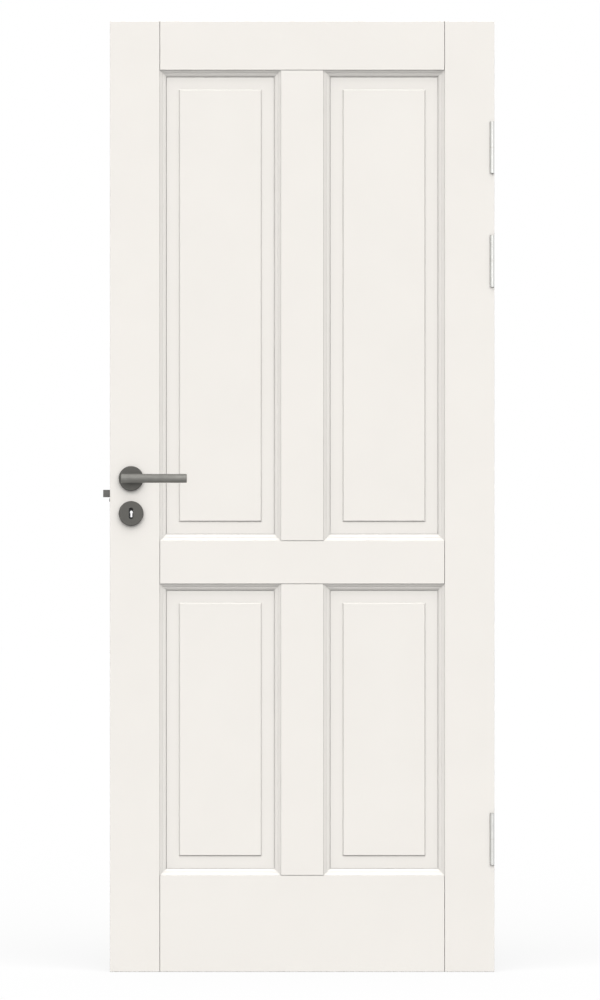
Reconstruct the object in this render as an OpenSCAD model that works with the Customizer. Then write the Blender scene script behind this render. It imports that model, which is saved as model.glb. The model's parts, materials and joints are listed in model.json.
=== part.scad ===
// Four-panel painted door leaf with lever handles, a mortise lock and three lift-off hinges.
// Millimetres. X runs along the width, Y through the thickness, Z up.
// The origin is the middle of the leaf's bottom edge, and the pull face looks towards -Y.

/* [Door leaf] */
// Width of the leaf
leaf_w = 825; // [700:1:1000]
// Height of the leaf
leaf_h = 2040; // [1950:1:2300]
// Thickness of the leaf
leaf_t = 40; // [38:0.5:50]
// Rounding of the leaf's outer edges
arris_r = 1.2; // [1:0.1:4]

/* [Stiles and rails] */
// Face width of each stile
stile_w = 107; // [100:1:140]
// Face height of the top rail
top_rail_h = 105.2; // [80:0.1:160]
// Face height of the lock rail
lock_rail_h = 92.4; // [80:0.1:160]
// Face height of the bottom rail
bottom_rail_h = 207; // [150:1:300]
// Height of the lock rail's lower edge above the leaf's bottom
lock_rail_z = 832.5; // [700:0.5:950]
// Face width of the two muntins
muntin_w = 92; // [60:1:140]
// Half width of the groove where two members meet
seam_w = 0.7; // [0.4:0.05:1.5]
// Depth of the groove where two members meet
seam_d = 2.6; // [1:0.1:3]
// Gap between a coped end and the moulding that it fits over
cope_gap = 0.1; // [0.05:0.01:0.3]
// Radius of the joint dowels
dowel_r = 8; // [5:0.5:8]
// Length of the joint dowels
dowel_l = 120; // [80:1:140]
// Distance of a dowel from the edge of its rail
dowel_edge = 24; // [18:1:35]
// Gap round a dowel
dowel_gap = 0.05; // [0.02:0.01:0.1]
// Glue room past each end of a dowel
dowel_room = 1; // [0.5:0.1:3]

/* [Moulding and panels] */
// Width of the moulding on the inner edges
stick_w = 14.5; // [12:0.5:20]
// Width of the flat ledge between the moulding's two beads
ledge_w = 0.8; // [0.6:0.1:2.5]
// Width of the step down to that ledge
quirk_w = 0.3; // [0.2:0.1:1]
// Depth of the step down to that ledge
quirk_d = 0.6; // [0.3:0.1:1.2]
// Width of the slope at the moulding's inner edge
nose_w = 0.9; // [0.5:0.1:2]
// Depth of the slope at the moulding's inner edge
nose_d = 2.8; // [2:0.1:4]
// Crown of each bead over its chord
bead_crown = 0.3; // [0.1:0.05:0.4]
// Depth of the panel groove
groove_d = 11; // [8:0.5:12]
// Thickness of a panel at its border
panel_t = 17.5; // [15:0.5:20]
// Depth of the shoulder between a panel's border and its tongue
shoulder_d = 1.5; // [1:0.1:2.5]
// Gap between that shoulder and the moulding
shoulder_gap = 0.15; // [0.1:0.05:0.8]
// Gap between a panel and each groove wall
panel_gap = 0.1; // [0.05:0.05:0.3]
// Room for the panel to swell at the groove's bottom
swell_room = 0.8; // [0.5:0.1:2]
// Width of the flat border that shows round a raised field
border_w = 26.1; // [15:0.1:40]
// Width of the bevel up to the raised field
bevel_w = 2.6; // [2:0.1:10]
// Rise of the field over the border
field_rise = 2.6; // [1:0.1:5]

/* [Hinges] */
// Height of a hinge
hinge_h = 111; // [90:1:130]
// Height of the bottom hinge's middle
bottom_hinge_z = 285; // [250:1:400]
// Distance of the top hinge's middle from the leaf's top
top_hinge_drop = 271; // [200:1:350]
// Distance between the two upper hinges
hinge_pitch = 244; // [180:1:400]
// Radius of the barrel
barrel_r = 4.75; // [4.5:0.05:6]
// Thickness of a flap
flap_t = 2.5; // [2:0.1:3]
// Width of a flap, from the barrel's axis
flap_w = 30; // [28:0.5:34]
// How far a flap's outer face lies inside the barrel's side
flap_set = 0.15; // [0.1:0.05:0.5]
// Radius of the hinge pin
pin_r = 2.6; // [2:0.05:2.8]
// Thickness of the washer between the knuckles
washer_t = 1.2; // [0.8:0.1:2]
// Thickness of the closed end of the upper knuckle
knuckle_cap = 3; // [2:0.5:5]
// Running clearance of turning fits
run_gap = 0.05; // [0.02:0.01:0.08]
// Clearance of pressed pieces
press_gap = 0.01; // [0.01:0.01:0.02]
// Gap between a barrel and the wood or the flap beside it
barrel_gap = 0.5; // [0.3:0.05:0.8]
// Gap round a piece that is let into the wood
mortise_gap = 0.3; // [0.1:0.05:0.6]
// Distance of the first row of flap screws from the axis
flap_row = 11; // [10.5:0.5:12]
// Distance between the two rows of flap screws
flap_row_pitch = 12; // [10:0.5:13]
// Distance of a flap screw from the flap's end
flap_screw_end = 14; // [8:0.5:24]

/* [Screws] */
// Radius of the screws' shank
screw_r = 2.2; // [1.8:0.1:2.4]
// Radius of the screws' core below the plate that they hold
screw_core_r = 1.7; // [1.4:0.05:1.75]
// Radius of the screws' countersunk head
screw_head_r = 4.2; // [3.8:0.1:4.4]
// Clearance of a screw in a metal hole
screw_gap = 0.2; // [0.1:0.05:0.3]
// Clearance of a screw in its pilot hole
pilot_gap = 0.05; // [0.02:0.01:0.1]
// Length of the hinge and forend screws
long_screw_l = 30; // [20:1:40]
// Width of the arms of a screw's cross recess
recess_w = 0.9; // [0.6:0.1:1.2]
// Length of the arms of a screw's cross recess
recess_l = 5; // [4:0.1:6]
// Depth of a screw's cross recess
recess_d = 1.5; // [0.8:0.1:1.8]
// Length of the rose and escutcheon screws
short_screw_l = 13; // [10:0.5:14]

/* [Lock] */
// Distance of the spindle from the leaf's edge
backset = 45.5; // [45:0.5:55]
// Height of the spindle above the lock rail's upper edge
spindle_rise = 133.8; // [115:0.1:180]
// Distance from the spindle down to the key axis
key_drop = 72.7; // [70:0.1:80]
// Depth of the lock case
case_d = 70; // [68:0.5:74]
// Thickness of the lock case
case_t = 15; // [14.5:0.1:16]
// Wall of the lock case
case_wall = 1.5; // [1:0.1:1.5]
// Case height above the spindle
case_above = 36; // [34:0.5:45]
// Case depth below the spindle
case_below = 104; // [102:0.5:112]
// Thickness of the forend
forend_t = 3; // [2.5:0.1:4]
// Width of the forend
forend_w = 20; // [18:0.5:24]
// How far the forend reaches past each end of the case
forend_reach = 24; // [22:0.5:32]
// Distance of a forend screw from the forend's end
forend_screw_end = 11; // [9:0.5:13]
// How far the latch bolt stands out of the edge
latch_out = 15; // [12:0.1:15]
// Height of the latch bolt
latch_h = 16; // [12:0.5:17]
// Thickness of the latch bolt
latch_t = 11.5; // [11:0.1:11.8]
// Thickness of the latch bolt at its tip
latch_tip_t = 1.5; // [0.5:0.1:3]
// Distance from the spindle down to the latch bolt's middle
latch_drop = 32.4; // [31:0.1:34]
// Travel of the latch bolt
latch_travel = 15.2; // [14:0.1:15.3]
// Length of the latch bolt's head inside the edge
latch_body = 18; // [16:0.5:19]
// Thickness of the latch bolt's tail
tail_t = 2.5; // [2:0.1:2.8]
// Width of the latch bolt's tail
tail_w = 6.5; // [5:0.1:7]
// Height of the latch tail's upper bar
tail_h = 6; // [4:0.1:7]
// Width of the lug that the follower's arm pushes
lug_w = 4.5; // [3:0.1:5]
// Height of the lug that the follower's arm pushes
lug_h = 3; // [2:0.1:4]
// Radius of the follower's hub
hub_r = 10; // [9:0.1:10.2]
// Radius of the follower's journals
follower_journal_r = 8; // [7:0.1:8.4]
// Length of the follower's arm from the spindle axis
arm_l = 23; // [22:0.1:25]
// Width of the follower's arm
arm_w = 8; // [7:0.1:8.5]
// Clearance of pieces that slide in the lock
slide_gap = 0.3; // [0.2:0.05:0.4]
// How far the deadbolt's nose stands out of the edge
bolt_out = 1.7; // [1:0.1:2.5]
// Height of the deadbolt
bolt_h = 11; // [10:0.1:12]
// Height of the deadbolt's nose at its tip
bolt_tip_h = 5.4; // [4:0.1:8]
// Thickness of the deadbolt
bolt_t = 9; // [7:0.1:10]
// Length of the deadbolt inside the edge
bolt_l = 60; // [55:0.5:62]
// Distance from the spindle down to the deadbolt's middle
bolt_drop = 46.5; // [46.2:0.1:47.5]
// Travel of the deadbolt
bolt_travel = 14; // [10:0.1:14.5]
// Width of the deadbolt's two talons
talon_w = 4; // [3:0.1:5]
// Room between the talons for the key's bit
talon_gap = 10; // [8:0.1:12]
// Distance from the keyhole's top up to the talons
talon_rise = 2; // [1:0.1:3]
// Width of the deadbolt's notches
notch_w = 5; // [4:0.1:6]
// Depth of the deadbolt's notches
notch_d = 1.2; // [0.8:0.1:1.6]
// Distance of the outer notch from the spindle
notch_x = 4; // [2:0.1:6]
// Height of the detent's strip over the deadbolt
detent_rise = 1.8; // [1.5:0.1:2]
// Radius of the post that holds the detent's strip
detent_post_r = 1.2; // [1:0.1:1.4]
// Distance of that post from the case's back wall
detent_post_in = 2.5; // [1.6:0.1:4]
// Radius of the posts that carry the lock's cover
post_r = 3; // [2.5:0.1:3.5]
// Distance of those posts from the case's corners
post_in = 7.5; // [6:0.1:9]
// Radius of the cover's screws
cover_screw_r = 1.5; // [1:0.1:1.8]
// Radius of the keyhole's round part
key_r = 3.6; // [3.2:0.1:5]
// Width of the keyhole's slot
key_slot_w = 5; // [3.4:0.1:6]
// Length of the keyhole's slot below the key axis
key_slot_l = 10.5; // [8:0.1:12]
// Room round the escutcheon's opening in the wood behind it
key_way_gap = 1.5; // [1:0.1:3]
// Radius of the coil springs' wire
wire_r = 0.5; // [0.4:0.05:0.6]
// Radius of the coil springs, to the middle of the wire
spring_r = 3; // [2:0.1:3.2]
// Turns of the latch spring
latch_turns = 11; // [8:1:14]
// Turns of the follower spring
follower_turns = 6; // [4:1:8]
// Thickness of the detent's strip
strip_t = 0.6; // [0.4:0.05:0.8]

/* [Handles] */
// Side of the square spindle
spindle_w = 8; // [7:0.1:8.4]
// Clearance round the spindle
spindle_gap = 0.05; // [0.02:0.01:0.1]
// Reach of the spindle into each lever, from the leaf's face
spindle_reach = 35; // [30:0.5:38]
// Radius of the lever's bar
bar_r = 9.5; // [9:0.1:11]
// Distance of the bar's axis from the leaf's face
bar_out = 50; // [48:0.5:60]
// Length of the bar from the spindle to its free end
bar_l = 120.3; // [100:0.1:140]
// Length of the bar past the spindle on the other side
bar_heel = 20; // [12:0.1:24]
// Bevel at the bar's ends
bar_bevel = 1.2; // [0.5:0.1:2]
// Radius of the lever's neck
neck_r = 8.5; // [8.3:0.05:8.9]
// Radius of the lever's journal in the rose
lever_journal_r = 8; // [7:0.1:8.1]
// Radius of the grub screws
grub_r = 2.5; // [2:0.1:3]
// Radius of a rose or escutcheon
rose_r = 26.5; // [25:0.1:30]
// Depth of a rose or escutcheon
rose_t = 9; // [8:0.1:12]
// Wall of a rose or escutcheon cover
cover_wall = 1.4; // [1:0.1:2]
// Rounding of a cover's front edge
cover_round = 1.2; // [0.5:0.1:1.9]
// Gap between a cover and the neck that passes through it
neck_gap = 0.35; // [0.3:0.05:0.6]
// Gap between a cover and the base that it snaps over
snap_gap = 0.1; // [0.05:0.05:0.2]
// Thickness of a rose or escutcheon base
base_t = 4; // [3:0.1:5]
// Distance of the base screws from the middle
base_screw_r = 18; // [17.5:0.1:19]
// Width of the escutcheon's opening
key_open_w = 9.4; // [9:0.1:12]
// Height of the escutcheon's opening
key_open_h = 24.7; // [24:0.1:28]
// Distance from the key axis down to the escutcheon's middle
escutcheon_drop = 2.3; // [0:0.1:4]
// Gap between a lever's inner end and the leaf's face
lever_gap = 0.3; // [0.2:0.05:0.6]

/* [Hidden] */
$fn = 48;

paint = [0.953, 0.937, 0.918];
beech = [0.80, 0.66, 0.48];
bright_steel = [0.80, 0.80, 0.79];
zinc_steel = [0.62, 0.63, 0.65];
dark_steel = [0.42, 0.42, 0.40];
black_nylon = [0.06, 0.06, 0.06];
brass = [0.78, 0.65, 0.38];

bead_n = 4;
arris_n = 5;
round_n = 12;
past = 1;

face_y = leaf_t / 2;
edge_x = leaf_w / 2;
inner_w = leaf_w - 2 * stile_w;
lock_rail_top = lock_rail_z + lock_rail_h;
top_rail_z = leaf_h - top_rail_h;
open_w = (inner_w - muntin_w) / 2;
upper_h = top_rail_z - lock_rail_top;
lower_h = lock_rail_z - bottom_rail_h;
open_x = (muntin_w + open_w) / 2;
tongue_t = panel_t - 2 * shoulder_d;
stick_depth = (leaf_t - tongue_t) / 2 - panel_gap;
tongue = groove_d - swell_room;
bead_size = [stick_w - quirk_w - ledge_w - nose_w, stick_depth - seam_d - quirk_d - nose_d] / 2;

hinge_x = edge_x - barrel_r;
hinge_y = -face_y;
top_hinge_z = leaf_h - top_hinge_drop;
middle_hinge_z = top_hinge_z - hinge_pitch;
hinge_zs = [top_hinge_z, middle_hinge_z, bottom_hinge_z];
flap_rows = [flap_row, flap_row + flap_row_pitch];
flap_ends = [flap_screw_end - hinge_h / 2, hinge_h / 2 - flap_screw_end];
flap_face = barrel_r - flap_set;

spindle_x = backset - edge_x;
spindle_z = lock_rail_top + spindle_rise;
key_z = spindle_z - key_drop;
escutcheon_z = key_z - escutcheon_drop;
case_x0 = forend_t - edge_x;
case_x1 = case_x0 + case_d;
case_z0 = spindle_z - case_below;
case_z1 = spindle_z + case_above;
case_in = case_t / 2 - case_wall;
case_back_x = case_x1 - case_wall;
forend_z0 = case_z0 - forend_reach;
forend_z1 = case_z1 + forend_reach;
latch_z = spindle_z - latch_drop;
bolt_z = spindle_z - bolt_drop;
bolt_top = bolt_z + bolt_h / 2;
latch_back_x = latch_body - edge_x;
tail_y = case_in - slide_gap - tail_t;
tail_x = spindle_x - hub_r - latch_travel - slide_gap;
arm_y = tail_y - slide_gap;
lug_z = spindle_z + hub_r + slide_gap;
lug_x = spindle_x + arm_w / 2 + slide_gap;
tail_top = lug_z + tail_h;
cover_in_r = rose_r - cover_wall;
base_r = cover_in_r - snap_gap;
post_h = case_t - case_wall;
bolt_way_d = 2 * (forend_t + case_wall + past);
detent_x = spindle_x + notch_x;
detent_post_x = case_back_x - detent_post_in;

// Plain helpers for lists of points
function backwards(list) = [for (i = [len(list) - 1:-1:0]) list[i]];
function swap(points) = [for (p = points) [p[1], p[0]]];
function shift(points, by) = [for (p = points) p + by];
function arc(c, r, from, to, n) =
    [for (i = [0:n]) let(a = from + (to - from) * i / n) c + r * [cos(a), sin(a)]];
function slot_outline(w, h) =
    let(r = w / 2, reach = h / 2 - w / 2)
    concat(arc([0, reach], r, 0, 180, round_n), arc([0, -reach], r, 180, 360, round_n));

// Moulded edge: u runs from the seam plane into the opening, d from the face into the wood
function bead(p, q) =
    let(run = q - p, out = [run[1], -run[0]] / norm(run))
    [for (i = [0:bead_n]) let(t = i / bead_n) p + run * t + out * 4 * bead_crown * t * (1 - t)];
function stick_profile() =
    let(outer = [0, seam_d], ledge = outer + bead_size + [quirk_w, quirk_d], inner = ledge + [ledge_w, 0])
    concat(
        [[-seam_w, 0]], bead(outer, outer + bead_size), [ledge], bead(inner, inner + bead_size),
        [[stick_w, stick_depth], [stick_w - groove_d, stick_depth]]
    );
function moulded_edge() =
    let(front = [for (p = stick_profile()) [p[0], p[1] - face_y]])
    concat(front, [for (p = backwards(front)) [p[0], -p[1]]]);
function outer_edge() = concat(
    arc([-arris_r, arris_r - face_y], arris_r, -90, 0, arris_n),
    arc([-arris_r, face_y - arris_r], arris_r, 0, 90, arris_n)
);
// Section of a member of face width w, with the edge shapes at its low and its high side
function bar_section(w, low, high) = concat(
    [for (p = high) [w + p[0], p[1]]],
    [for (p = backwards(low)) [-p[0], p[1]]]
);
// Rectangle of length l whose ends carry half of the groove at a seam
function seam_ended(l) = [
    [-l / 2, seam_d - face_y], [seam_w - l / 2, -face_y], [l / 2 - seam_w, -face_y], [l / 2, seam_d - face_y],
    [l / 2, face_y - seam_d], [l / 2 - seam_w, face_y], [seam_w - l / 2, face_y], [-l / 2, face_y - seam_d]
];

module along_z(from, to) {
    translate([0, 0, from]) linear_extrude(to - from) children();
}
module along_x(from, to) {
    translate([from, 0, 0]) rotate([90, 0, 90]) linear_extrude(to - from) children();
}
module along_y(from, to) {
    translate([0, to, 0]) rotate([90, 0, 0]) linear_extrude(to - from) children();
}
// Turns +Z of its children to face out of the pull side, at height z on the vertical line x
module on_front(x, z) {
    translate([x, -face_y, z]) rotate([90, 0, 0]) children();
}
module on_back(x, z) {
    mirror([0, 1, 0]) on_front(x, z) children();
}

// Countersunk wood screw through a plate of thickness t: head's top at the origin, point along -Z
module screw(l, t) {
    sink = screw_head_r - screw_r;
    difference() {
        rotate_extrude()
            polygon([
                [0, 0], [screw_head_r, 0], [screw_r, -sink], [screw_core_r, -t],
                [screw_core_r, 2 * screw_core_r - l], [0, -l]
            ]);
        for (turn = [0, 90]) {
            rotate(turn)
                translate([-recess_l / 2, -recess_w / 2, -recess_d])
                cube([recess_l, recess_w, 2 * recess_d]);
        }
    }
}
// Hole for such a screw through a plate of thickness t
module sunk_hole(t) {
    hole_r = screw_r + screw_gap;
    top_r = screw_head_r + screw_gap;
    translate([0, 0, -t - past]) cylinder(r = hole_r, h = t + 2 * past);
    translate([0, 0, hole_r - top_r]) cylinder(r1 = hole_r, r2 = top_r, h = top_r - hole_r);
    cylinder(r = top_r, h = past);
}
// Hole in the wood for such a screw
module pilot(l) {
    translate([0, 0, -l - past]) cylinder(r = screw_core_r + pilot_gap, h = l + 2 * past);
}

// Stiles, rails and muntins
module stile_bar() {
    intersection() {
        along_z(0, leaf_h) polygon(shift(bar_section(stile_w, outer_edge(), moulded_edge()), [-edge_x, 0]));
        along_x(-edge_x - past, 0) polygon(swap(bar_section(leaf_h, outer_edge(), outer_edge())));
    }
}
module rail_bar(z, h, low, high) {
    along_x(-inner_w / 2, inner_w / 2) polygon(swap(shift(bar_section(h, low, high), [z, 0])));
}
module top_rail_bar() {
    rail_bar(top_rail_z, top_rail_h, moulded_edge(), outer_edge());
}
module lock_rail_bar() {
    rail_bar(lock_rail_z, lock_rail_h, moulded_edge(), moulded_edge());
}
module bottom_rail_bar() {
    rail_bar(0, bottom_rail_h, outer_edge(), moulded_edge());
}
// Fits the bar of a rail over the stiles' moulding, with blind holes for its dowels
module coped_rail(z, h) {
    difference() {
        intersection() {
            children();
            along_z(z - stick_w, z + h + stick_w) polygon(seam_ended(inner_w));
        }
        for (side = [0, 1]) {
            mirror([side, 0, 0]) translate([cope_gap, 0, 0]) stile_bar();
        }
        dowels(z, h, dowel_r + dowel_gap, dowel_l / 2 + dowel_room, [-1, 1]);
    }
}
// Round bars across the joints of one rail, half of each on either side of the seam plane
module dowels(z, h, r, half_l, sides) {
    for (side = sides, dowel_z = [z + dowel_edge, z + h - dowel_edge]) {
        translate([side * inner_w / 2 - half_l, 0, dowel_z])
            rotate([0, 90, 0])
            cylinder(r = r, h = 2 * half_l);
    }
}
module all_dowels(r, half_l, sides) {
    dowels(0, bottom_rail_h, r, half_l, sides);
    dowels(lock_rail_z, lock_rail_h, r, half_l, sides);
    dowels(top_rail_z, top_rail_h, r, half_l, sides);
}
// Muntin between the rails given as children: the one below, then the one above
module coped_muntin(from, to) {
    difference() {
        intersection() {
            along_z(from, to)
                polygon(shift(bar_section(muntin_w, moulded_edge(), moulded_edge()), [-muntin_w / 2, 0]));
            translate([0, 0, (from + to) / 2])
                along_x(-muntin_w, muntin_w)
                polygon(swap(seam_ended(to - from)));
        }
        translate([0, 0, cope_gap]) children(0);
        translate([0, 0, -cope_gap]) children(1);
    }
}

module lock_stile() {
    color(paint)
    difference() {
        stile_bar();
        all_dowels(dowel_r + dowel_gap, dowel_l / 2 + dowel_room, [-1]);
        lock_mortise();
        translate([spindle_x, 0, spindle_z]) along_y(-leaf_t, leaf_t) circle(r = hub_r);
        translate([spindle_x, 0, escutcheon_z])
            along_y(-leaf_t, leaf_t)
            polygon(slot_outline(key_open_w + 2 * key_way_gap, key_open_h + 2 * key_way_gap));
        base_pilots();
        mirror([0, 1, 0]) base_pilots();
    }
}
module hinge_stile() {
    color(paint)
    difference() {
        mirror([1, 0, 0]) stile_bar();
        all_dowels(dowel_r + dowel_gap, dowel_l / 2 + dowel_room, [1]);
        for (z = hinge_zs) {
            translate([hinge_x, hinge_y, z]) hinge_mortise();
        }
    }
}
module top_rail() {
    color(paint) coped_rail(top_rail_z, top_rail_h) top_rail_bar();
}
module lock_rail() {
    color(paint) coped_rail(lock_rail_z, lock_rail_h) lock_rail_bar();
}
module bottom_rail() {
    color(paint) coped_rail(0, bottom_rail_h) bottom_rail_bar();
}
module upper_muntin() {
    color(paint)
    coped_muntin(lock_rail_top, top_rail_z) {
        lock_rail_bar();
        top_rail_bar();
    }
}
module lower_muntin() {
    color(paint)
    coped_muntin(bottom_rail_h, lock_rail_z) {
        bottom_rail_bar();
        lock_rail_bar();
    }
}
module joint_dowels() {
    color(beech) all_dowels(dowel_r, dowel_l / 2, [-1, 1]);
}

// Raised panel that fills an opening of height h, seam plane to seam plane
function raised_section(l) =
    let(half = l / 2, low = panel_t / 2, high = panel_t / 2 + field_rise)
    [
        [-half, -low], [bevel_w - half, -high], [half - bevel_w, -high], [half, -low],
        [half, low], [half - bevel_w, high], [bevel_w - half, high], [-half, low]
    ];
module raised_panel(x, z, h) {
    sight = [open_w - 2 * stick_w, h - 2 * stick_w];
    field = sight - 2 * [border_w, border_w];
    color(paint)
    translate([x, 0, z])
    union() {
        cube([sight[0] + 2 * tongue, tongue_t, sight[1] + 2 * tongue], center = true);
        cube([sight[0] - 2 * shoulder_gap, panel_t, sight[1] - 2 * shoulder_gap], center = true);
        intersection() {
            along_z(-field[1] / 2, field[1] / 2) polygon(raised_section(field[0]));
            along_x(-field[0] / 2, field[0] / 2) polygon(swap(raised_section(field[1])));
        }
    }
}
module panel_upper_left() {
    raised_panel(-open_x, lock_rail_top + upper_h / 2, upper_h);
}
module panel_upper_right() {
    raised_panel(open_x, lock_rail_top + upper_h / 2, upper_h);
}
module panel_lower_left() {
    raised_panel(-open_x, bottom_rail_h + lower_h / 2, lower_h);
}
module panel_lower_right() {
    raised_panel(open_x, bottom_rail_h + lower_h / 2, lower_h);
}

// Hinge pieces, in a frame of their own: the barrel's axis is Z and the flaps run along +Y
module flap_screw_places() {
    for (y = flap_rows, z = flap_ends) {
        translate([flap_t - flap_face, y, z]) rotate([0, 90, 0]) children();
    }
}
// Flap on the -X side with its knuckle on the upper half
module flap_with_knuckle() {
    difference() {
        union() {
            difference() {
                translate([-flap_face, 0, -hinge_h / 2]) cube([flap_t, flap_w, hinge_h]);
                translate([0, 0, -hinge_h / 2 - past])
                    cylinder(r = barrel_r + barrel_gap, h = hinge_h / 2 + washer_t / 2 + past);
            }
            translate([0, 0, washer_t / 2]) cylinder(r = barrel_r, h = (hinge_h - washer_t) / 2);
        }
        flap_screw_places() sunk_hole(flap_t);
        children();
    }
}
module leaf_flap(z) {
    color(bright_steel)
    translate([hinge_x, hinge_y, z])
    flap_with_knuckle() {
        cylinder(r = pin_r + run_gap, h = hinge_h / 2 - knuckle_cap);
    }
}
module frame_flap(z) {
    color(bright_steel)
    translate([hinge_x, hinge_y, z])
    mirror([1, 0, 0])
    mirror([0, 0, 1])
    flap_with_knuckle() {
        cylinder(r = pin_r + press_gap, h = hinge_h);
    }
}
module hinge_pin(z) {
    pin_top = hinge_h / 2 - knuckle_cap - past;
    color(bright_steel)
    translate([hinge_x, hinge_y, z])
    rotate_extrude()
    polygon([
        [0, -hinge_h / 2], [pin_r, -hinge_h / 2], [pin_r, pin_top - pin_r / 2],
        [pin_r / 2, pin_top], [0, pin_top]
    ]);
}
module hinge_washer(z) {
    color(brass)
    translate([hinge_x, hinge_y, z - washer_t / 2])
    difference() {
        cylinder(r = barrel_r, h = washer_t - run_gap);
        translate([0, 0, -past]) cylinder(r = pin_r + press_gap, h = washer_t + 2 * past);
    }
}
// Recess in the leaf's edge for both flaps, open to the edge and to the face at the barrel
module hinge_mortise() {
    h = hinge_h + 2 * mortise_gap;
    translate([-flap_face, -past, -h / 2])
        cube([barrel_r + flap_face + past, flap_w + mortise_gap + past, h]);
    translate([0, 0, -h / 2]) cylinder(r = barrel_r + barrel_gap, h = h);
    flap_screw_places() pilot(long_screw_l);
}
module top_leaf_flap() {
    leaf_flap(top_hinge_z);
}
module middle_leaf_flap() {
    leaf_flap(middle_hinge_z);
}
module bottom_leaf_flap() {
    leaf_flap(bottom_hinge_z);
}
module top_frame_flap() {
    frame_flap(top_hinge_z);
}
module middle_frame_flap() {
    frame_flap(middle_hinge_z);
}
module bottom_frame_flap() {
    frame_flap(bottom_hinge_z);
}
module top_hinge_pin() {
    hinge_pin(top_hinge_z);
}
module middle_hinge_pin() {
    hinge_pin(middle_hinge_z);
}
module bottom_hinge_pin() {
    hinge_pin(bottom_hinge_z);
}
module top_hinge_washer() {
    hinge_washer(top_hinge_z);
}
module middle_hinge_washer() {
    hinge_washer(middle_hinge_z);
}
module bottom_hinge_washer() {
    hinge_washer(bottom_hinge_z);
}
module hinge_screws() {
    color(bright_steel)
    for (z = hinge_zs) {
        translate([hinge_x, hinge_y, z]) flap_screw_places() screw(long_screw_l, flap_t);
    }
}

// Keyhole round the key's axis
module keyhole_outline() {
    circle(r = key_r);
    translate([-key_slot_w / 2, -key_slot_l]) square([key_slot_w, key_slot_l]);
}
// Lock, in the leaf's own frame
module case_outline() {
    translate([case_x0, case_z0]) square([case_d, case_z1 - case_z0]);
}
// Holes that both plates of the case share
module plate_holes() {
    translate([spindle_x, 0, key_z]) along_y(-case_t, case_t) keyhole_outline();
    translate([spindle_x, case_t, spindle_z])
        rotate([90, 0, 0])
        cylinder(r = follower_journal_r + run_gap, h = 2 * case_t);
}
module cover_screw_places() {
    for (p = [[case_x1 - post_in, case_z1 - post_in], [case_x1 - post_in, case_z0 + post_in],
              [case_x0 + post_in, case_z0 + post_in]]) {
        translate([p[0], case_t / 2, p[1]]) rotate([-90, 0, 0]) children();
    }
}
// Ways through the forend and the case's front wall for the two bolts
module bolt_ways() {
    translate([-edge_x, 0, latch_z])
        cube([bolt_way_d, latch_t + 2 * slide_gap, latch_h + 2 * slide_gap], center = true);
    translate([-edge_x, 0, bolt_z])
        cube([bolt_way_d, bolt_t + 2 * slide_gap, bolt_h + 2 * slide_gap], center = true);
}
module forend_screw_places() {
    for (z = [forend_z0 + forend_screw_end, forend_z1 - forend_screw_end]) {
        translate([-edge_x, 0, z]) rotate([0, -90, 0]) children();
    }
}
module forend_block(grow) {
    translate([0, 0, (forend_z0 + forend_z1) / 2])
        along_x(-edge_x, case_x0)
        polygon(slot_outline(forend_w + 2 * grow, forend_z1 - forend_z0 + 2 * grow));
}
module lock_mortise() {
    gap = mortise_gap;
    translate([-edge_x - past, -case_t / 2 - gap, case_z0 - gap])
        cube([case_x1 + edge_x + gap + past, case_t + 2 * gap, case_z1 - case_z0 + 2 * gap]);
    translate([-past, 0, 0]) forend_block(gap);
    forend_block(gap);
    forend_screw_places() pilot(long_screw_l);
}
module lock_case() {
    color(zinc_steel)
    union() {
        difference() {
            along_y(-case_t / 2, case_in) case_outline();
            translate([case_x0 + case_wall, -case_in, case_z0 + case_wall])
                cube([case_d - 2 * case_wall, case_t, case_z1 - case_z0 - 2 * case_wall]);
            plate_holes();
            bolt_ways();
        }
        difference() {
            cover_screw_places() translate([0, 0, -case_t]) cylinder(r = post_r, h = post_h);
            cover_screw_places()
                translate([0, 0, -case_in])
                cylinder(r = cover_screw_r + pilot_gap, h = case_t);
        }
        translate([detent_post_x, case_in, bolt_top + detent_rise + strip_t + detent_post_r])
            rotate([90, 0, 0])
            cylinder(r = detent_post_r, h = post_h);
    }
}
module lock_cover() {
    color(zinc_steel)
    difference() {
        along_y(case_in, case_t / 2) case_outline();
        plate_holes();
        cover_screw_places()
            translate([0, 0, -case_t])
            cylinder(r = cover_screw_r + screw_gap, h = 2 * case_t);
    }
}
module cover_screws() {
    head_h = mortise_gap / 2;
    color(zinc_steel)
    cover_screw_places()
    rotate_extrude()
    polygon([
        [0, head_h], [post_r, head_h], [post_r, 0], [cover_screw_r, 0],
        [cover_screw_r, -case_in], [0, -case_in]
    ]);
}
module lock_forend() {
    color(bright_steel)
    difference() {
        forend_block(0);
        bolt_ways();
        forend_screw_places() sunk_hole(forend_t);
    }
}
module forend_screws() {
    color(bright_steel) forend_screw_places() screw(long_screw_l, forend_t);
}
module latch_bolt() {
    half_t = latch_t / 2;
    tip_x = -edge_x - latch_out;
    color(dark_steel)
    union() {
        along_z(latch_z - latch_h / 2, latch_z + latch_h / 2)
            polygon([
                [tip_x, -half_t], [latch_back_x, -half_t], [latch_back_x, half_t], [-edge_x, half_t],
                [tip_x, latch_tip_t - half_t]
            ]);
        along_y(tail_y, tail_y + tail_t)
            polygon([
                [tail_x - tail_w, latch_z], [tail_x, latch_z], [tail_x, lug_z], [lug_x + lug_w, lug_z],
                [lug_x + lug_w, tail_top], [tail_x - tail_w, tail_top]
            ]);
        translate([lug_x, slide_gap - case_in, lug_z]) cube([lug_w, tail_y + case_in, lug_h]);
    }
}
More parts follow.
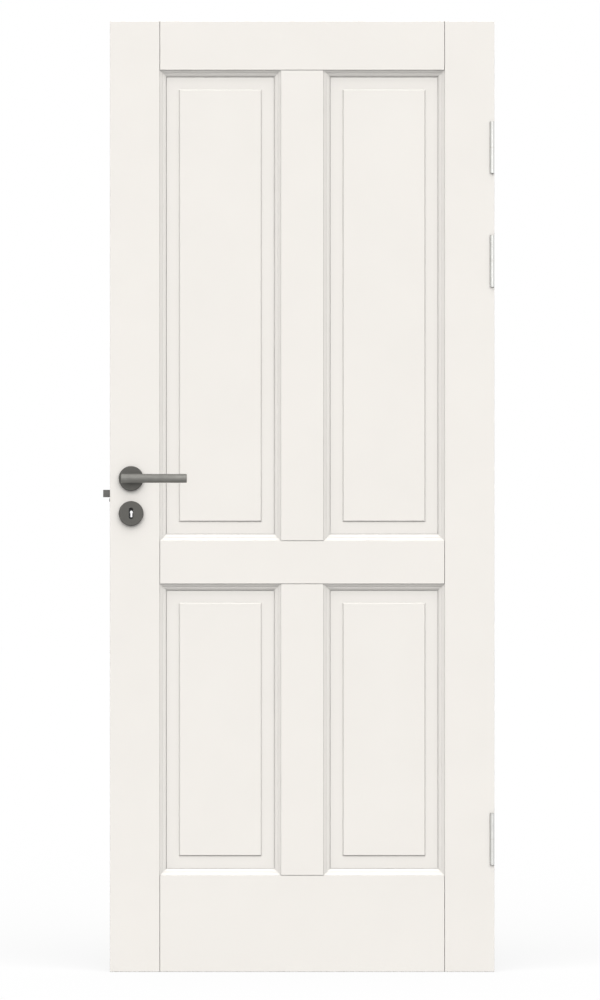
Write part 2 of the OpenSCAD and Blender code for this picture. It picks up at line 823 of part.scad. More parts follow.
module follower() {
    color(brass)
    difference() {
        translate([spindle_x, 0, spindle_z])
        union() {
            rotate([90, 0, 0]) cylinder(r = follower_journal_r, h = case_t, center = true);
            rotate([90, 0, 0]) cylinder(r = hub_r, h = 2 * (case_in - run_gap), center = true);
            translate([-arm_w / 2, slide_gap - case_in, 0]) cube([arm_w, arm_y + case_in - slide_gap, arm_l]);
        }
        spindle_bar(spindle_gap, case_t);
    }
}
// Coil along X between two seats, its wire swept as rings of six points
function coil_points(from, to, r, turns, steps) = [
    for (i = [0:turns * steps], k = [0:5])
        let(a = 360 * i / steps, x = from + wire_r + (to - from - 2 * wire_r) * i / (turns * steps))
        let(out = r + wire_r * cos(60 * k))
        [x + wire_r * sin(60 * k), out * cos(a), out * sin(a)]
];
function coil_faces(rings) = concat(
    [[for (k = [0:5]) k]],
    [for (i = [0:rings - 2], k = [0:5]) [6 * i + k, 6 * i + 6 + k, 6 * i + 6 + (k + 1) % 6]],
    [for (i = [0:rings - 2], k = [0:5]) [6 * i + k, 6 * i + 6 + (k + 1) % 6, 6 * i + (k + 1) % 6]],
    [[for (k = [5:-1:0]) 6 * (rings - 1) + k]]
);
module coil(from, to, r, turns) {
    steps = 10;
    polyhedron(coil_points(from, to, r, turns, steps), coil_faces(turns * steps + 1), 4);
}
module latch_spring() {
    color(zinc_steel)
    translate([0, tail_y - spring_r - 2 * wire_r, latch_z])
    coil(latch_back_x, case_back_x, spring_r, latch_turns);
}
module follower_spring() {
    color(zinc_steel)
    translate([0, (slide_gap - case_in + arm_y) / 2, spindle_z + arm_l - arm_w / 2])
    coil(spindle_x + arm_w / 2, case_back_x, spring_r, follower_turns);
}
module deadbolt() {
    half_h = bolt_h / 2;
    tip_x = -edge_x - bolt_out;
    back_x = bolt_l - edge_x;
    talon_z = key_z + key_r + talon_rise;
    color(dark_steel)
    union() {
        difference() {
            along_y(-bolt_t / 2, bolt_t / 2)
                polygon([
                    [tip_x, bolt_z - bolt_tip_h / 2], [-edge_x, bolt_z - half_h], [back_x, bolt_z - half_h],
                    [back_x, bolt_top], [-edge_x, bolt_top], [tip_x, bolt_z + bolt_tip_h / 2]
                ]);
            for (x = [detent_x, detent_x - bolt_travel]) {
                translate([x, 0, bolt_top])
                    along_y(-bolt_t, bolt_t)
                    polygon([
                        [-notch_w / 2, past], [-notch_w / 2, 0], [0, -notch_d],
                        [notch_w / 2, 0], [notch_w / 2, past]
                    ]);
            }
        }
        for (side = [-1, 1]) {
            translate([spindle_x + side * (talon_gap + talon_w) / 2 - talon_w / 2, -bolt_t / 2, talon_z])
                cube([talon_w, bolt_t, bolt_z - talon_z]);
        }
    }
}
module deadbolt_detent() {
    low = bolt_top - notch_d / 2;
    seat = bolt_top + detent_rise;
    line = [
        [detent_post_x + detent_post_r, seat], [detent_x + notch_w, seat],
        [detent_x, low], [detent_x - notch_w, seat]
    ];
    color(bright_steel)
    along_y(-bolt_t / 4, bolt_t / 4)
    polygon(concat(line, backwards(shift(line, [0, strip_t]))));
}
module spindle_bar(gap, reach) {
    w = spindle_w + 2 * gap;
    translate([spindle_x - w / 2, -reach, spindle_z - w / 2]) cube([w, 2 * reach, w]);
}
module spindle() {
    color(zinc_steel) spindle_bar(0, face_y + spindle_reach);
}

// Handle pieces, in a frame of their own: +Z points out of the face that carries them
module lever() {
    color(dark_steel)
    difference() {
        union() {
            rotate_extrude()
                polygon([
                    [0, lever_gap], [lever_journal_r, lever_gap], [lever_journal_r, base_t + run_gap],
                    [neck_r, base_t + run_gap], [neck_r, bar_out], [0, bar_out]
                ]);
            translate([-bar_heel, 0, bar_out])
                rotate([0, 90, 0])
                rotate_extrude()
                polygon([
                    [0, 0], [bar_r - bar_bevel, 0], [bar_r, bar_bevel], [bar_r, bar_heel + bar_l - bar_bevel],
                    [bar_r - bar_bevel, bar_heel + bar_l], [0, bar_heel + bar_l]
                ]);
        }
        socket_w = spindle_w + 2 * spindle_gap;
        translate([-socket_w / 2, -socket_w / 2, -past]) cube([socket_w, socket_w, spindle_reach + 2 * past]);
        grub_place() translate([0, 0, -past]) cylinder(r = grub_r + press_gap, h = neck_r);
    }
}
// Radial place of the grub screw, its axis running out of the neck on the lower side
module grub_place() {
    translate([0, -spindle_w / 2, rose_t + 2 * grub_r]) rotate([90, 0, 0]) children();
}
module grub_screw() {
    color(zinc_steel)
    grub_place()
    difference() {
        cylinder(r = grub_r, h = neck_r - spindle_w / 2 - grub_r / 4);
        translate([0, 0, (neck_r - spindle_w / 2) / 2]) cylinder(r = grub_r / 2, h = neck_r, $fn = 6);
    }
}
// Two screw places on a base, on a line turned by the angle given
module base_screw_places(turn) {
    for (side = [0, 180]) {
        rotate(turn + side) translate([base_screw_r, 0, base_t]) children();
    }
}
module base(turn, colour) {
    color(colour)
    difference() {
        cylinder(r = base_r, h = base_t);
        base_screw_places(turn) sunk_hole(base_t);
        children();
    }
}
module cover() {
    color(dark_steel)
    difference() {
        rotate_extrude()
            polygon(concat(
                [[0, 0], [rose_r, 0]],
                arc([rose_r - cover_round, rose_t - cover_round], cover_round, 0, 90, arris_n),
                [[0, rose_t]]
            ));
        translate([0, 0, -past]) cylinder(r = cover_in_r, h = rose_t - cover_wall + past);
        children();
    }
}
module journal_hole() {
    translate([0, 0, -past]) cylinder(r = lever_journal_r + run_gap, h = base_t + 2 * past);
}
module neck_hole() {
    cylinder(r = neck_r + neck_gap, h = rose_t + past);
}
module key_opening() {
    translate([0, 0, -past]) linear_extrude(rose_t + 2 * past) polygon(slot_outline(key_open_w, key_open_h));
}
module key_way() {
    translate([0, escutcheon_drop, -past]) linear_extrude(base_t + 2 * past) keyhole_outline();
}
module base_pilots() {
    on_front(spindle_x, spindle_z) base_screw_places(90) pilot(short_screw_l);
    on_front(spindle_x, escutcheon_z) base_screw_places(0) pilot(short_screw_l);
}
module lever_front() {
    on_front(spindle_x, spindle_z) lever();
}
module lever_back() {
    on_back(spindle_x, spindle_z) lever();
}
module grub_screws() {
    on_front(spindle_x, spindle_z) grub_screw();
    on_back(spindle_x, spindle_z) grub_screw();
}
module rose_base_front() {
    on_front(spindle_x, spindle_z) base(90, zinc_steel) journal_hole();
}
module rose_base_back() {
    on_back(spindle_x, spindle_z) base(90, zinc_steel) journal_hole();
}
module rose_cover_front() {
    on_front(spindle_x, spindle_z) cover() neck_hole();
}
module rose_cover_back() {
    on_back(spindle_x, spindle_z) cover() neck_hole();
}
module rose_screws() {
    color(bright_steel) {
        on_front(spindle_x, spindle_z) base_screw_places(90) screw(short_screw_l, base_t);
        on_back(spindle_x, spindle_z) base_screw_places(90) screw(short_screw_l, base_t);
    }
}
module escutcheon_base_front() {
    on_front(spindle_x, escutcheon_z) base(0, black_nylon) key_way();
}
module escutcheon_base_back() {
    on_back(spindle_x, escutcheon_z) base(0, black_nylon) key_way();
}
module escutcheon_cover_front() {
    on_front(spindle_x, escutcheon_z) cover() key_opening();
}
module escutcheon_cover_back() {
    on_back(spindle_x, escutcheon_z) cover() key_opening();
}
module escutcheon_screws() {
    color(bright_steel) {
        on_front(spindle_x, escutcheon_z) base_screw_places(0) screw(short_screw_l, base_t);
        on_back(spindle_x, escutcheon_z) base_screw_places(0) screw(short_screw_l, base_t);
    }
}

hinge_stile();
lock_stile();
top_rail();
lock_rail();
bottom_rail();
upper_muntin();
lower_muntin();
panel_upper_left();
panel_upper_right();
panel_lower_left();
panel_lower_right();
joint_dowels();
top_leaf_flap();
middle_leaf_flap();
bottom_leaf_flap();
top_frame_flap();
middle_frame_flap();
bottom_frame_flap();
top_hinge_pin();
middle_hinge_pin();
bottom_hinge_pin();
top_hinge_washer();
middle_hinge_washer();
bottom_hinge_washer();
hinge_screws();
lock_case();
lock_cover();
cover_screws();
lock_forend();
forend_screws();
latch_bolt();
latch_spring();
follower();
follower_spring();
deadbolt();
deadbolt_detent();
spindle();
lever_front();
lever_back();
grub_screws();
rose_base_front();
rose_base_back();
rose_cover_front();
rose_cover_back();
rose_screws();
escutcheon_base_front();
escutcheon_base_back();
escutcheon_cover_front();
escutcheon_cover_back();
escutcheon_screws();
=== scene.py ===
# %% [markdown]
# # A panelled door leaf
# This lesson dresses a door that is already built. The imported frame holds every stile, rail, panel, hinge
# and lock piece at its real size, so nothing here is moved or fitted. We first load the frame and keep its
# box, which the finished look stays within.
# %% Load the frame
import json
import math

import bmesh
import bpy
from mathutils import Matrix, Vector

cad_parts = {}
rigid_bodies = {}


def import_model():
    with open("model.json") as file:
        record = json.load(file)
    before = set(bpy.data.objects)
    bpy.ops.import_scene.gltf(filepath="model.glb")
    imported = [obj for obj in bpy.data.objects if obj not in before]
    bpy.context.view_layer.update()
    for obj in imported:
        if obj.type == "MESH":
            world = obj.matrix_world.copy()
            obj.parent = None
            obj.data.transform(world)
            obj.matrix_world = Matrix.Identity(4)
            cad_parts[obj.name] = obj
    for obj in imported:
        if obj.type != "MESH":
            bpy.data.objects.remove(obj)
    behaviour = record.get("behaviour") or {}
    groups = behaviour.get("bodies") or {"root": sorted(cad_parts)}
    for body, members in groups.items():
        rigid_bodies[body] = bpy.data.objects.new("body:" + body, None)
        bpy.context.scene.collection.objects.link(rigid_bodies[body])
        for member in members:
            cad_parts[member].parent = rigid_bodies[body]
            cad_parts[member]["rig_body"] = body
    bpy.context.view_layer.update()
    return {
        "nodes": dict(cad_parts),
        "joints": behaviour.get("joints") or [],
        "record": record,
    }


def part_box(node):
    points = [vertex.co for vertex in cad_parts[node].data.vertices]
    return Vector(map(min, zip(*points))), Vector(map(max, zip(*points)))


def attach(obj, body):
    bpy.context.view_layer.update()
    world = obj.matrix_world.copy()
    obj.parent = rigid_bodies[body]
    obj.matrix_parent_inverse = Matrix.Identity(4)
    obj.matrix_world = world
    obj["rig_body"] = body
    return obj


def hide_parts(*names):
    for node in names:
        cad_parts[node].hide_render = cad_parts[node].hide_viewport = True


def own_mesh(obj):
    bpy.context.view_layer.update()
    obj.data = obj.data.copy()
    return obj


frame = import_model()
slot_of = {part["node"]: part["material_slot"] for part in frame["record"]["subparts"]}

# %% [markdown]
# ## Where everything is
# A piece takes its size from the box of the node that it dresses. Only what a box can't tell, such as the
# rounding of an edge, is written here as a size of its own. Blender works in metres, and a joiner in
# millimetres, so one small factor stands between them.
# %% Measure the frame
MM = 0.001


def middle(node):
    """Middle of a node's box."""
    low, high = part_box(node)
    return (low + high) / 2


def extent(node):
    """Width, depth and height of a node's box."""
    low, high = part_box(node)
    return high - low


leaf_low, leaf_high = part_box("lock_stile")
face_y = leaf_low.y
print("pull face at y =", round(face_y, 4), "and leaf", round(leaf_high.z - leaf_low.z, 3), "m high")

# %% [markdown]
# ## Camera
# The door is seen straight on, from so far away that upright lines stay upright and the two sides of a
# moulding look alike. A long lens does that: the camera stands well back, and its focal length follows from
# the height that the picture takes in at the door's face.
# %% Set up the camera
view_distance = 14.0
view_height = 2.1456
view_middle = (-0.0047, 1.0124)

bpy.ops.object.select_all(action="DESELECT")
bpy.ops.object.camera_add(
    location=(view_middle[0], face_y - view_distance, view_middle[1]), rotation=(math.radians(90), 0, 0)
)
camera = bpy.context.object
camera.data.sensor_width = 36
camera.data.lens = camera.data.sensor_width * view_distance / view_height
camera.data.clip_end = 100
bpy.context.scene.camera = camera
print("lens", round(camera.data.lens, 1), "mm")

# %% [markdown]
# ## Light
# Mouldings only read when light comes from one side: here from above and in front, so that a slope that
# looks up is bright, one that looks down is dark, and the two upright sides are alike. The lamp is a sun
# with a very wide disc, like a large soft box, so no shadow has a hard edge. A second one lights the other
# face in the same way, and two weak ones the leaf's edges. White slopes would also light each other until
# their edges fade, so light that has met a matt surface once isn't passed on.
# %% Set up the suns
sun_width = math.radians(80)
face_height, face_strength = math.radians(43), 3.02
edge_height, edge_strength = math.radians(25), 0.5


def soft_sun(name, turn, height, strength):
    """A wide sun at a height above the horizon, turned round the door from its front."""
    bpy.ops.object.light_add(type="SUN", rotation=(math.pi / 2 - height, 0, turn))
    sun = bpy.context.object
    sun.name = name
    sun.data.energy = strength
    sun.data.angle = sun_width
    return sun


soft_sun("front_sun", 0, face_height, face_strength)
other_suns = [
    soft_sun("back_sun", math.pi, face_height, face_strength),
    soft_sun("left_sun", -math.pi / 2, edge_height, edge_strength),
    soft_sun("right_sun", math.pi / 2, edge_height, edge_strength),
]
bpy.context.scene.cycles.diffuse_bounces = 0
print(1 + len(other_suns), "suns, the front one", round(math.degrees(face_height)), "degrees up")

# %% [markdown]
# ## Surroundings
# The world gives a little even light that fills the shadows, and it is the white behind the door. One
# strength can't do both, because a world that looks white would wash out the mouldings. So two backgrounds
# are mixed by the kind of ray: the camera, metal and glass see plain white, and every other ray meets the
# weak fill.
# %% Set up the world
fill_strength = 0.2
plain_white = (1, 1, 1, 1)


def seen_directly(tree):
    """A factor that is 1 for rays that show a thing: from the camera, off gloss or through glass."""
    path = tree.nodes.new("ShaderNodeLightPath")
    total = path.outputs["Is Camera Ray"]
    for name in ("Is Glossy Ray", "Is Transmission Ray"):
        either = tree.nodes.new("ShaderNodeMath")
        either.operation = "MAXIMUM"
        tree.links.new(total, either.inputs[0])
        tree.links.new(path.outputs[name], either.inputs[1])
        total = either.outputs[0]
    return total


world = bpy.data.worlds.new("studio")
bpy.context.scene.world = world
world.use_nodes = True
sky = world.node_tree
sky_fill = sky.nodes["Background"]
sky_fill.inputs["Color"].default_value = plain_white
sky_fill.inputs["Strength"].default_value = fill_strength
sky_seen = sky.nodes.new("ShaderNodeBackground")
sky_seen.inputs["Color"].default_value = plain_white
sky_mix = sky.nodes.new("ShaderNodeMixShader")
sky.links.new(seen_directly(sky), sky_mix.inputs[0])
sky.links.new(sky_fill.outputs[0], sky_mix.inputs[1])
sky.links.new(sky_seen.outputs[0], sky_mix.inputs[2])
sky.links.new(sky_mix.outputs[0], sky.nodes["World Output"].inputs["Surface"])
bpy.context.scene.view_settings.view_transform = "Standard"
print("fill light at", fill_strength, "of white")

# %% [markdown]
# ## Floor
# The leaf stands a hair above the floor, which is a plain pale plane. Most of the floor's brightness is
# a glow of its own, so it melts into the white behind, and the rest is ordinary matt white that loses its
# light where the door stands in the way. That part is the shadow. It falls behind the leaf, because light
# linking keeps the other suns off the floor. The floor itself neither shades nor tints the door, or the leaf
# would grow darker towards its foot.
# %% Lay the floor
floor_gap = 0.5 * MM
floor_size = 60
floor_glow = 0.83
floor_matt = (0.2, 0.2, 0.2, 1)

bpy.ops.mesh.primitive_plane_add(size=floor_size, location=(0, 0, leaf_low.z - floor_gap))
floor = bpy.context.object
floor.name = "floor"
floor_paint = bpy.data.materials.new("floor_paint")
floor_paint.use_nodes = True
tree = floor_paint.node_tree
tree.nodes.remove(tree.nodes["Principled BSDF"])
glow = tree.nodes.new("ShaderNodeEmission")
glow.inputs["Strength"].default_value = floor_glow
matt = tree.nodes.new("ShaderNodeBsdfDiffuse")
matt.inputs["Color"].default_value = floor_matt
shown = tree.nodes.new("ShaderNodeAddShader")
tree.links.new(glow.outputs[0], shown.inputs[0])
tree.links.new(matt.outputs[0], shown.inputs[1])
tree.links.new(shown.outputs[0], tree.nodes["Material Output"].inputs["Surface"])
floor.data.materials.append(floor_paint)
floor.visible_shadow = False
floor.visible_diffuse = False
all_but_floor = bpy.data.collections.new("all_but_floor")
all_but_floor.objects.link(floor)
all_but_floor.collection_objects[0].light_linking.link_state = "EXCLUDE"
for sun in other_suns:
    sun.light_linking.receiver_collection = all_but_floor
print("floor", floor_size, "m wide")

# %% [markdown]
# ## Tools for materials
# A painted or brushed surface is never one flat colour. Each finish below is a Principled shader whose
# colour, roughness and relief are nudged by noise. The noise reads Object coordinates, which are metres on
# the door, so a scratch has the same size on every piece. Stretching the noise along one direction turns
# specks into brush marks or grain. Most of a noise lies between two values, so only that span is used.
# %% Tools for materials
noise_low, noise_high = 0.3, 0.7
# Rays per point for the shade that is painted into the colour where surfaces meet.
crevice_shade_samples = 6


def screen_colour(red, green, blue):
    """Linear colour from the 0 to 255 values that a screen shows."""
    parts = [value / 255 for value in (red, green, blue)]
    return tuple(p / 12.92 if p <= 0.04045 else ((p + 0.055) / 1.055) ** 2.4 for p in parts) + (1.0,)


def shade(colour, share):
    """The same colour, lighter or darker by a share."""
    return tuple(min(1.0, part * share) for part in colour[:3]) + (1.0,)


class Finish:
    """A material in the making: its tree, its shader and the place on the door that its patterns read."""

    def __init__(self, name, metallic=0.0):
        self.material = bpy.data.materials.new(name)
        self.material.use_nodes = True
        self.tree = self.material.node_tree
        self.shader = self.tree.nodes["Principled BSDF"]
        self.shader.inputs["Metallic"].default_value = metallic
        self.place = self.node("TexCoord").outputs["Object"]

    def node(self, kind):
        return self.tree.nodes.new("ShaderNode" + kind)

    def link(self, start, end):
        self.tree.links.new(start, end)

    def noise(self, scale, stretch=(1, 1, 1), detail=3.0):
        """Noise with that many specks to the metre, drawn out along the directions with a small stretch."""
        mapping = self.node("Mapping")
        mapping.inputs["Scale"].default_value = stretch
        self.link(self.place, mapping.inputs["Vector"])
        noise = self.node("TexNoise")
        noise.inputs["Scale"].default_value = scale
        noise.inputs["Detail"].default_value = detail
        self.link(mapping.outputs[0], noise.inputs["Vector"])
        return noise.outputs["Fac"]

    def rings(self, centre, scale, detail=3.0):
        """Noise that only changes with the distance from an axis along Y, like marks left by a lathe."""
        mapping = self.node("Mapping")
        mapping.inputs["Location"].default_value = (-centre.x, 0, -centre.z)
        mapping.inputs["Scale"].default_value = (1, 0, 1)
        self.link(self.place, mapping.inputs["Vector"])
        radius = self.node("VectorMath")
        radius.operation = "LENGTH"
        self.link(mapping.outputs[0], radius.inputs[0])
        noise = self.node("TexNoise")
        noise.noise_dimensions = "1D"
        noise.inputs["Scale"].default_value = scale
        noise.inputs["Detail"].default_value = detail
        self.link(radius.outputs["Value"], noise.inputs["W"])
        return noise.outputs["Fac"]

    def spread(self, factor, low, high, socket):
        """Sends a pattern to a number socket, between a low and a high value."""
        span = self.node("MapRange")
        span.inputs["From Min"].default_value = noise_low
        span.inputs["From Max"].default_value = noise_high
        span.inputs["To Min"].default_value = low
        span.inputs["To Max"].default_value = high
        self.link(factor, span.inputs["Value"])
        self.link(span.outputs["Result"], self.shader.inputs[socket])

    def tint(self, factor, dark, light):
        """Sends a pattern to the colour, between a dark and a light tone."""
        ramp = self.node("ValToRGB")
        first, last = ramp.color_ramp.elements
        first.position, last.position = noise_low, noise_high
        first.color, last.color = dark, light
        self.link(factor, ramp.inputs["Fac"])
        self.link(ramp.outputs["Color"], self.shader.inputs["Base Color"])

    def painted_crevice_shade(self, reach, depth):
        """Paints shade into the colour: darkens it where other surfaces come closer than the reach."""
        crowd = self.node("AmbientOcclusion")
        crowd.samples = crevice_shade_samples
        crowd.inputs["Distance"].default_value = reach
        blend = self.node("Mix")
        blend.data_type = "RGBA"
        blend.blend_type = "MULTIPLY"
        blend.inputs["Factor"].default_value = depth
        # A Mix node has sockets A, B and Result for each type of value. These are the ones for colours.
        under, over, result = blend.inputs[6], blend.inputs[7], blend.outputs[2]
        colour = self.shader.inputs["Base Color"]
        tone = colour.links[0].from_socket
        self.link(tone, under)
        self.link(crowd.outputs["AO"], over)
        self.link(result, colour)

    def relief(self, *layers):
        """Raises the surface by (pattern, height in metres) pairs."""
        normal = None
        for factor, height in layers:
            bump = self.node("Bump")
            bump.inputs["Distance"].default_value = height
            self.link(factor, bump.inputs["Height"])
            if normal:
                self.link(normal, bump.inputs["Normal"])
            normal = bump.outputs["Normal"]
        self.link(normal, self.shader.inputs["Normal"])


print("middle grey on a screen is", round(screen_colour(128, 128, 128)[0], 3), "of white")

# %% [markdown]
# ## Paint
# The wood is sprayed and rolled with a warm white satin paint. From a step away it looks even, but close up
# a roller leaves a fine orange peel and the grain below still telegraphs through along each member. So
# there are two paints that differ only in direction: upright for stiles, muntins and panels, level for
# rails. Where surfaces meet in a crevice, the colour is darkened by painted shade.
# %% Mix the paint
warm_white = screen_colour(243, 239, 233)
cloud_scale, grain_scale, peel_scale = 7, 260, 900
grain_height, peel_height = 0.03 * MM, 0.012 * MM
# How far the painted shade reaches from where surfaces meet, and how dark it gets.
crevice_shade_reach, crevice_shade_depth = 25 * MM, 0.18


def satin_paint(name, stretch):
    paint = Finish(name)
    clouds = paint.noise(cloud_scale, detail=2)
    grain = paint.noise(grain_scale, stretch)
    peel = paint.noise(peel_scale, detail=2)
    paint.tint(clouds, shade(warm_white, 0.988), shade(warm_white, 1.006))
    # Painted shade: the colour darkens where another surface comes near, as in a crevice.
    paint.painted_crevice_shade(crevice_shade_reach, crevice_shade_depth)
    paint.spread(peel, 0.34, 0.44, "Roughness")
    paint.relief((grain, grain_height), (peel, peel_height))
    return paint.material


upright_paint = satin_paint("upright_paint", (1, 1, 0.02))
level_paint = satin_paint("level_paint", (0.02, 1, 1))
print("paint in two directions")

# %% [markdown]
# ## Metal
# The handles and covers are a dark satin steel. A lever is polished along its length with an abrasive belt,
# so its marks run with the bar. A rose is turned on a lathe, so its marks run round the middle. Hinges,
# forend and screws are a brighter steel, the lock's inner pieces are zinc plated, and the follower is brass.
# The washers between the knuckles are brass too, but tinned, so that they hardly show beside the steel.
# %% Mix the metals
lever_tone = screen_colour(124, 123, 119)
cover_tone = screen_colour(80, 79, 76)
bolt_tone = screen_colour(87, 86, 84)
bright_steel_tone = screen_colour(198, 198, 195)
zinc_tone = screen_colour(158, 161, 166)
brass_tone = screen_colour(199, 166, 97)
tinned_tone = screen_colour(184, 182, 175)
brush_scale, brush_patch_scale, brush_depth = 1400, 60, 0.004 * MM
lathe_scale, lathe_patch_scale, lathe_depth = 1800, 80, 0.003 * MM
patch_change = 0.05


def brushed_metal(name, tone, stretch, roughness, contrast=0.14):
    metal = Finish(name, metallic=1.0)
    marks = metal.noise(brush_scale, stretch)
    patches = metal.noise(brush_patch_scale, detail=2)
    metal.tint(marks, shade(tone, 1 - contrast), shade(tone, 1 + contrast))
    metal.spread(patches, roughness - patch_change, roughness + patch_change, "Roughness")
    metal.relief((marks, brush_depth))
    return metal.material


def turned_metal(name, tone, centre, roughness, contrast=0.07):
    metal = Finish(name, metallic=1.0)
    marks = metal.rings(centre, lathe_scale)
    patches = metal.noise(lathe_patch_scale, detail=2)
    metal.tint(marks, shade(tone, 1 - contrast), shade(tone, 1 + contrast))
    metal.spread(patches, roughness - patch_change, roughness + patch_change, "Roughness")
    metal.relief((marks, lathe_depth))
    return metal.material


lever_steel = brushed_metal("lever_steel", lever_tone, (0.02, 1, 1), 0.72)
bolt_steel = brushed_metal("bolt_steel", bolt_tone, (0.04, 1, 1), 0.4)
rose_steel = turned_metal("rose_steel", cover_tone, middle("rose_cover_front"), 0.42)
escutcheon_steel = turned_metal("escutcheon_steel", cover_tone, middle("escutcheon_cover_front"), 0.42)
hinge_steel = brushed_metal("hinge_steel", bright_steel_tone, (1, 1, 0.03), 0.35, contrast=0.05)
zinc_plate = brushed_metal("zinc_plate", zinc_tone, (1, 1, 1), 0.38, contrast=0.08)
bush_brass = brushed_metal("bush_brass", brass_tone, (1, 0.1, 1), 0.3, contrast=0.06)
tinned_brass = brushed_metal("tinned_brass", tinned_tone, (1, 1, 1), 0.4, contrast=0.06)
print("eight metals")

# %% [markdown]
# ## Bare wood and nylon
# The dowels in the joints are bare beech: pale, with short dark flecks along the grain. The plate behind the
# keyhole is matt black nylon, whose black also paints the shade deep inside the keyhole.
# %% Mix beech and nylon
beech_tone = screen_colour(204, 168, 122)
# Near black: the nylon's own colour, which also paints the shade inside the keyhole.
nylon_and_keyhole_shade_tone = screen_colour(12, 12, 12)
fleck_scale, fleck_height = 900, 0.05 * MM
nylon_scale, nylon_height = 2500, 0.01 * MM


def bare_beech():
    wood = Finish("bare_beech_wood")
    flecks = wood.noise(fleck_scale, (0.05, 1, 1), detail=4)
    wood.tint(flecks, shade(beech_tone, 0.8), shade(beech_tone, 1.08))
    wood.spread(flecks, 0.5, 0.65, "Roughness")
    wood.relief((flecks, fleck_height))
    return wood.material


def matt_nylon():
    nylon = Finish("black_nylon_and_keyhole_shade")
    grain = nylon.noise(nylon_scale, detail=2)
    nylon.tint(grain, shade(nylon_and_keyhole_shade_tone, 0.8), shade(nylon_and_keyhole_shade_tone, 1.2))
    nylon.spread(grain, 0.55, 0.7, "Roughness")
    nylon.relief((grain, nylon_height))
    return nylon.material


beech_wood = bare_beech()
black_nylon = matt_nylon()
print("beech and nylon")

# %% [markdown]
# ## Finish of the frame's own pieces
# Most pieces of the frame already have their true shape, so they only need their finish. The slot that the
# record gives each piece says which one. Rails take the level paint, and the washers their tin.
# %% Finish the frame's pieces
slot_finish = {
    "white_paint": upright_paint,
    "bare_beech": beech_wood,
    "bright_steel": hinge_steel,
    "zinc_steel": zinc_plate,
    "dark_steel": bolt_steel,
    "black_nylon": black_nylon,
    "brass": bush_brass,
}
for name, node in frame["nodes"].items():
    finish = slot_finish[slot_of[name]]
    if name.endswith("_rail"):
        finish = level_paint
    elif name.endswith("_washer"):
        finish = tinned_brass
    for material_slot in node.material_slots:
        material_slot.material = finish
print("finished", len(frame["nodes"]), "nodes")

# %% [markdown]
# ## Tools for modelling
# The next pieces are modelled by hand. An operator acts on all that is selected, so everything is deselected
# first. In edit mode, corners, edges or faces are picked by where they lie or look. Where a long face meets
# a fine bevel, plain smooth shading would bend the light along the whole face, so the normals are weighted
# by area. A piece that stands for a node of the frame rides on the same body, and the node is hidden.
# %% Tools for modelling
TURN_TO_X = (0, math.radians(90), 0)
TURN_TO_Y = (math.radians(90), 0, 0)
straight = 0.99


def solid_cylinder(name, centre, radius, depth, turn, sides=96):
    """A cylinder with its place in its mesh, turned from Z by the angles given."""
    bpy.ops.object.select_all(action="DESELECT")
    bpy.ops.mesh.primitive_cylinder_add(
        vertices=sides, radius=radius, depth=depth, location=centre, rotation=turn
    )
    piece = bpy.context.object
    piece.name = name
    bpy.ops.object.transform_apply(location=True, rotation=True, scale=True)
    return piece


def pick(kind, test):
    """In edit mode, selects the corners, edges or faces that pass the test."""
    bpy.ops.mesh.select_mode(type=kind)
    bpy.ops.mesh.select_all(action="DESELECT")
    mesh = bmesh.from_edit_mesh(bpy.context.object.data)
    items = {"VERT": mesh.verts, "EDGE": mesh.edges, "FACE": mesh.faces}[kind]
    for item in items:
        if test(item):
            item.select_set(True)
    bmesh.update_edit_mesh(bpy.context.object.data)


def boolean(piece, tool, operation):
    """Adds the tool to the piece or cuts it out, and removes the tool."""
    bpy.ops.object.select_all(action="DESELECT")
    bpy.context.view_layer.objects.active = piece
    change = piece.modifiers.new("change", "BOOLEAN")
    change.operation = operation
    change.object = tool
    change.solver = "EXACT"
    bpy.ops.object.modifier_apply(modifier=change.name)
    bpy.data.objects.remove(tool)


def smooth(piece, degrees=35):
    """Smooth shading that keeps real edges sharp and lets the large faces lead."""
    bpy.ops.object.select_all(action="DESELECT")
    piece.select_set(True)
    bpy.context.view_layer.objects.active = piece
    bpy.ops.object.shade_smooth_by_angle(angle=math.radians(degrees))
    lead = piece.modifiers.new("lead", "WEIGHTED_NORMAL")
    lead.keep_sharp = True
    bpy.ops.object.modifier_apply(modifier=lead.name)


def settle(piece, node, finish):
    """The piece stands for a node of the frame: same body, its own finish, and the node hidden."""
    piece.data.materials.clear()
    piece.data.materials.append(finish)
    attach(piece, frame["nodes"][node]["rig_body"])
    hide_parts(node)
    print(piece.name, "has", len(piece.data.polygons), "faces and stands for", node)


print("a normal counts as straight within", round(math.degrees(math.acos(straight))), "degrees")

# %% [markdown]
# ## Lever handles
# A lever is a round bar on a round neck. The bar starts as a cylinder, and its two end discs get a bevel so
# that the rims catch the light. The neck is a second cylinder, joined to the bar by a boolean, because the
# real one is welded and shows one continuous surface. A small hole below the neck holds the grub screw. In
# the photograph the leaf behind a lever stays evenly white, so the levers throw no shadow.
# %% Model the levers
bar_r = extent("lever_front").z / 2
bar_rim = 1.2 * MM
neck_r = 8.5 * MM
grub_r = 2.5 * MM


def end_disc(face):
    return abs(face.normal.x) > straight


